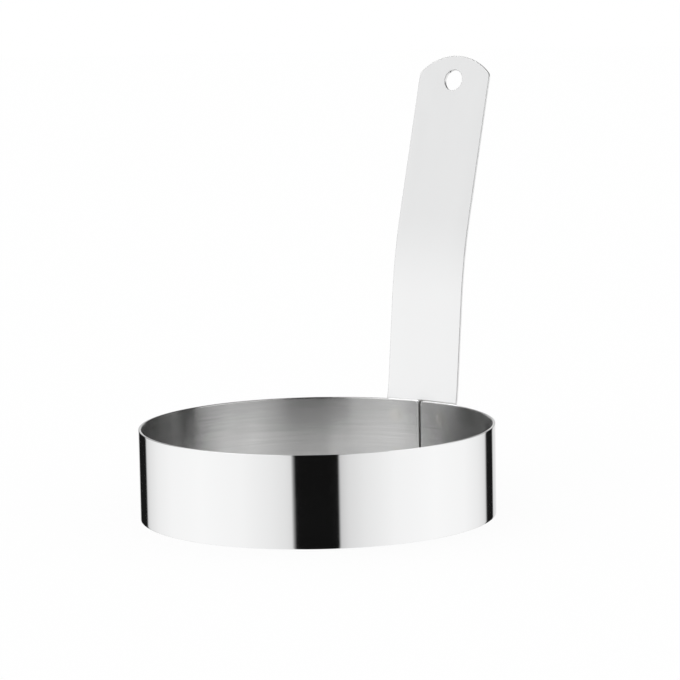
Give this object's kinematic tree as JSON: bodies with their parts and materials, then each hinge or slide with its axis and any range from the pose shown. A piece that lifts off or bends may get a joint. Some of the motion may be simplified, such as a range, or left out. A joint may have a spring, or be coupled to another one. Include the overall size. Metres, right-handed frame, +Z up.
{
  "type": "egg ring",
  "caption": "Round open cooking ring of rolled sheet steel with an upright strip handle, bent outwards and ending in a domed tip with a hang hole.",
  "frame": {"origin": "on the surface that the ring stands on, at the middle of the object's footprint from front to back", "axes": "+Z up along the ring's axis, +Y from the ring's axis towards the handle, X across the handle's width"},
  "size_m": [0.1, 0.1218, 0.1252],
  "materials": {
    "polished_band": "stainless steel, mirror polished outside and satin inside",
    "polished_handle": "stainless steel, bright polished strip",
    "weld": "resistance spot weld, dull"
  },
  "bodies": {
    "root": {"ring_band": "polished_band", "handle": "polished_handle", "spot_weld_upper_left": "weld", "spot_weld_upper_right": "weld", "spot_weld_lower_left": "weld", "spot_weld_lower_right": "weld"}
  },
  "joints": []
}
